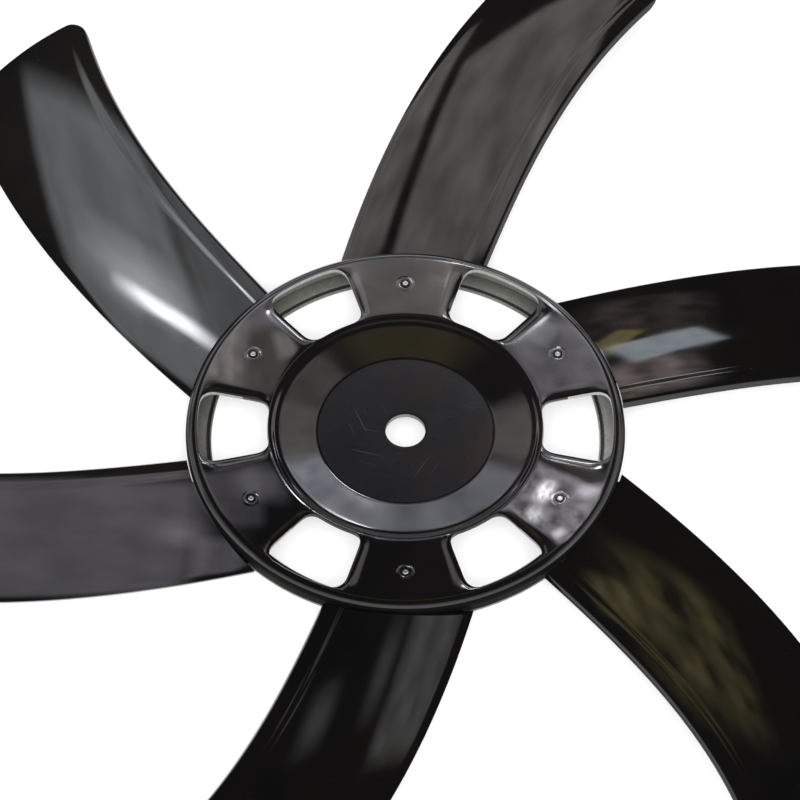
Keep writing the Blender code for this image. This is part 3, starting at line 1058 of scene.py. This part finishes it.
def soften(data, edge, mottle):
    """Fades a soft box towards its sides and makes it cloudy, so its mirror image isn't flat."""
    data.use_nodes = True
    place = data.node_tree.nodes.new("ShaderNodeNewGeometry").outputs["Parametric"]
    split = data.node_tree.nodes.new("ShaderNodeSeparateXYZ")
    link(data, place, split.inputs["Vector"])
    fade = band(data, noise(data, place, 5.0, 3.0), 0.35, 0.65, 1 - mottle, 1 + mottle)
    for side in ("X", "Y"):
        inward = band(data, math_node(data, "PINGPONG", split.outputs[side], 0.5), 0.0, edge)
        fade = math_node(data, "MULTIPLY", fade, inward)
    link(data, fade, data.node_tree.nodes["Emission"].inputs["Strength"])


def lit_group(name, pieces):
    """The pieces that a soft box lights; flags would keep it off the rest in a studio."""
    group = bpy.data.collections.new(name)
    for piece in pieces:
        group.objects.link(piece)
    return group


def soft_box(name, group, centre, size, radiance, colour=WHITE, height=NEAR, turn=0.0, edge=0.25,
             mottle=0.15):
    """A box that faces down over the wheel; centre and size are in metres, turn in degrees.

    Boxes may overlap, and then their light adds up, so each hangs a little above the last.
    """
    height += BOX_STEP * len(bpy.data.lights)
    data = bpy.data.lights.new(name, "AREA")
    data.shape = "RECTANGLE"
    data.size, data.size_y = size
    data.energy = radiance * math.pi * size[0] * size[1]
    data.color = colour
    soften(data, edge, mottle)
    lamp = bpy.data.objects.new(name, data)
    bpy.context.collection.objects.link(lamp)
    lamp.location = (*centre, FACE_Z + height)
    lamp.rotation_euler = (0, 0, math.radians(turn))
    lamp.visible_camera = False
    lamp.light_linking.receiver_collection = group
    return lamp


# %% [markdown]
# The hub, its ring, rivets and collars share one group. Each blade has its own, and so has the
# floor.

# %% Group what the boxes light
HUB = lit_group("lit_hub", [hub, hoop, *rivets, *collars])
RIGHT, TOP, UPPER_LEFT, LEFT, BOTTOM, LOWER_RIGHT = [
    lit_group("lit_" + piece.name, [piece]) for piece in blades]
FLOOR = lit_group("lit_floor", [floor])

# %% [markdown]
# Over each blade hangs a broad box for its gloss as a whole, and smaller ones for streaks and
# patches. A blade is nearly level, so it mirrors a point just beyond itself.

# %% Boxes for the floor and the blades
floor_sky = soft_box("floor_sky", FLOOR, (0, 0), (16, 16), 1.5, height=6, edge=0.1, mottle=0.0)
floor_sky.light_linking.blocker_collection = FLOOR
soft_box("upper_left_sky", UPPER_LEFT, (-0.33, 0.38), (0.28, 0.48), 2.2, COOL, edge=0.1)
soft_box("upper_left_root", UPPER_LEFT, (-0.12, 0.38), (0.16, 0.48), 1.3, COOL, edge=0.1)
soft_box("upper_left_glow", UPPER_LEFT, (-0.3, 0.335), (0.26, 0.16), 5, COOL, turn=-12, edge=0.5)
soft_box("upper_left_streak", UPPER_LEFT, (-0.27, 0.292), (0.2, 0.045), 28, COOL, turn=-12,
         edge=0.4)
soft_box("left_sky", LEFT, (-0.34, -0.04), (0.34, 0.38), 1.5, VIOLET, LOW, edge=0.1)
soft_box("left_sheen", LEFT, (-0.205, -0.015), (0.09, 0.1), 1.4, VIOLET, LOW, edge=0.5)
soft_box("left_root", LEFT, (-0.16, -0.09), (0.07, 0.15), 1.4, VIOLET, LOW, edge=0.2)
soft_box("top_left_side", TOP, (-0.267, 0.695), (0.366, 0.51), 1.4, WARM, edge=0.04, mottle=0.3)
soft_box("top_right_side", TOP, (0.09, 0.58), (0.312, 0.44), 1.45, WARM, edge=0.05, mottle=0.3)
soft_box("top_edge", TOP, (0.18, 0.54), (0.03, 0.24), 1.0, COOL, edge=0.4)
soft_box("right_sky", RIGHT, (0.21, 0.49), (0.18, 0.28), 0.35, RUST, mottle=0.7)
soft_box("right_band", RIGHT, (0.24, 0.327), (0.12, 0.075), 4.8, BLUE, turn=30, edge=0.08)
soft_box("right_rust", RIGHT, (0.23, 0.225), (0.13, 0.13), 1.9, RUST, turn=20, mottle=0.6)
soft_box("right_olive", RIGHT, (0.183, 0.35), (0.036, 0.11), 1.9, OLIVE, turn=-20, edge=0.1)
soft_box("bottom_side", BOTTOM, (0.115, -0.08), (0.14, 0.3), 0.85, edge=0.15, mottle=0.3)
soft_box("bottom_far_side", BOTTOM, (-0.085, -0.09), (0.07, 0.14), 0.7, edge=0.4)
soft_box("bottom_middle", BOTTOM, (0.02, -0.05), (0.05, 0.2), 0.6, edge=0.4)
soft_box("lower_right_sky", LOWER_RIGHT, (0.28, 0.0), (0.24, 0.34), 0.5, OLIVE, mottle=0.9)
soft_box("lower_right_root", LOWER_RIGHT, (0.165, 0.015), (0.09, 0.09), 0.9, OLIVE, mottle=0.5)
print(len(bpy.data.lights), "boxes hang")

# %% [markdown]
# The flats of the arms are level too. Their boxes hang lower, so that the next arm doesn't mirror
# them as well. The glints are bright spots on the lower right arm and its window's corner.

# %% Boxes for the arms
soft_box("top_arm", HUB, (0.0, 0.31), (0.2, 0.12), 1.6, WARM, LOW, edge=0.15)
soft_box("upper_right_arm", HUB, (0.155, 0.215), (0.15, 0.14), 1.7, VIOLET, LOW, edge=0.12,
         mottle=0.3)
soft_box("upper_right_patch", HUB, (0.137, 0.262), (0.045, 0.034), 1.2, BLUE, LOW, turn=-25,
         edge=0.1)
soft_box("upper_right_rim", HUB, (0.17, 0.335), (0.03, 0.08), 14, COOL, LOW)
soft_box("upper_left_arm", HUB, (-0.195, 0.235), (0.07, 0.13), 2.2, WARM, LOW, edge=0.3,
         mottle=0.4)
soft_box("upper_left_shade", HUB, (-0.15, 0.225), (0.09, 0.13), 0.9, WARM, LOW, edge=0.15)
soft_box("upper_left_patch", HUB, (-0.124, 0.245), (0.03, 0.05), 1.7, WARM, LOW, turn=12)
soft_box("upper_left_rim", HUB, (-0.12, 0.325), (0.17, 0.08), 2.2, VIOLET, LOW, turn=32)
soft_box("lower_left_arm", HUB, (-0.18, 0.05), (0.08, 0.08), 0.6, VIOLET, LOW, edge=0.15)
soft_box("lower_left_patch", HUB, (-0.148, 0.072), (0.08, 0.06), 1.3, VIOLET, LOW, turn=-12,
         edge=0.35)
soft_box("lower_right_arm", HUB, (0.152, -0.05), (0.11, 0.085), 3.3, VIOLET, TIGHT, turn=-30,
         edge=0.08, mottle=0.6)
soft_box("window_glint", HUB, (0.14, -0.032), (0.022, 0.036), 19, WHITE, TIGHT, turn=-28, edge=0.4,
         mottle=0.5)
soft_box("arm_glint", HUB, (0.128, -0.06), (0.022, 0.032), 13, WHITE, TIGHT, turn=-25, edge=0.5,
         mottle=0.5)
soft_box("low_glint", HUB, (0.153, -0.082), (0.02, 0.014), 9, WHITE, TIGHT, turn=30, edge=0.4)
soft_box("far_glint", HUB, (0.186, -0.03), (0.05, 0.02), 6, VIOLET, TIGHT, turn=12, edge=0.4)
print(len(bpy.data.lights), "boxes hang")

# %% [markdown]
# The dish slopes, so each side of its cone mirrors a point far above and beyond the wheel. Its
# boxes are large and hang high. Two bright ones are mirrored in the creases only.

# %% Boxes for the dish
soft_box("cone_bottom", HUB, (0.0, 4.16), (1.0, 0.4), 2.7, LILAC, HIGH, edge=0.15, mottle=0.4)
soft_box("cone_low_left", HUB, (0.59, 3.64), (0.4, 0.9), 3.6, LILAC, HIGH, turn=19, edge=0.2,
         mottle=0.4)
soft_box("cone_low_right", HUB, (-0.55, 3.7), (0.4, 0.75), 2.6, LILAC, HIGH, turn=-21, edge=0.2,
         mottle=0.3)
soft_box("cone_left", HUB, (0.59, 2.9), (0.64, 0.9), 1.3, WARM, HIGH, edge=0.2, mottle=0.4)
soft_box("cone_right", HUB, (-0.59, 2.95), (0.64, 0.9), 1.3, WARM, HIGH, edge=0.2, mottle=0.3)
soft_box("cone_top_left", HUB, (0.54, 2.3), (0.4, 0.55), 1.0, WARM, HIGH, turn=-30, mottle=0.5)
soft_box("cone_olive", HUB, (0.0, 1.87), (1.0, 0.5), 0.4, OLIVE, HIGH)
soft_box("inner_glow", HUB, (0.0, 3.5), (0.8, 0.5), 1.5, LILAC, HIGH)
soft_box("inner_crease", HUB, (0.23, 3.31), (0.28, 0.3), 40, WHITE, HIGH, turn=36, mottle=0.6)
soft_box("outer_crease", HUB, (0.42, 4.2), (0.14, 0.6), 32, WHITE, HIGH, turn=43, mottle=0.6)
print(len(bpy.data.lights), "boxes hang")

# %% [markdown]
# The rolled rim gets a ring of boxes just outside it. They hang so low that the dish can't mirror
# them, and the ring is moved back as far as a flat moves what it mirrors at that height.

# %% Ring of boxes for the rim
RIM_BOX_R = 0.355
RIM_BOX_SIZE = (0.2, 0.19)
FLAT_SHIFT = 0.043
RIM_FROM = -30
RIM_STEP = 30
RIM_GLOW = (0.9, 1.3, 2.0, 2.6, 2.8, 2.2, 1.6, 1.2, 0.8)

for step, radiance in enumerate(RIM_GLOW):
    angle = RIM_FROM + RIM_STEP * step
    turn = math.radians(angle)
    centre = (RIM_BOX_R * math.cos(turn), FLAT_SHIFT + RIM_BOX_R * math.sin(turn))
    soft_box(f"rim_{angle}", HUB, centre, RIM_BOX_SIZE, radiance, COOL, TIGHT, turn=angle, edge=0.15)
print(len(bpy.data.lights), "boxes hang")

# %% [markdown]
# The studio is bright all round, for the views from the side, and dark overhead, where the
# wheel's face mirrors it towards the camera.

# %% Surroundings
DARK_CONE = math.cos(math.radians(52))
BRIGHT_CONE = math.cos(math.radians(78))


def surround(bright, dark):
    """A bright studio whose ceiling is dark where the wheel mirrors it towards the camera."""
    world = bpy.data.worlds.new("studio")
    bpy.context.scene.world = world
    world.use_nodes = True
    nodes = world.node_tree.nodes
    facing = nodes.new("ShaderNodeVectorMath")
    facing.operation = "DOT_PRODUCT"
    facing.inputs[1].default_value = (0, math.sqrt(1 - SQUASH ** 2), SQUASH)
    link(world, nodes.new("ShaderNodeTexCoord").outputs["Generated"], facing.inputs[0])
    outside = band(world, facing.outputs["Value"], BRIGHT_CONE, DARK_CONE, 0.0, 1.0)
    background = nodes["Background"]
    link(world, blend_colors(world, outside, bright, dark), background.inputs["Color"])


surround((1.7, 1.73, 1.76), (0.07, 0.06, 0.065))
bpy.context.scene.view_settings.view_transform = "Standard"
print("world", bpy.context.scene.world.name, "set")
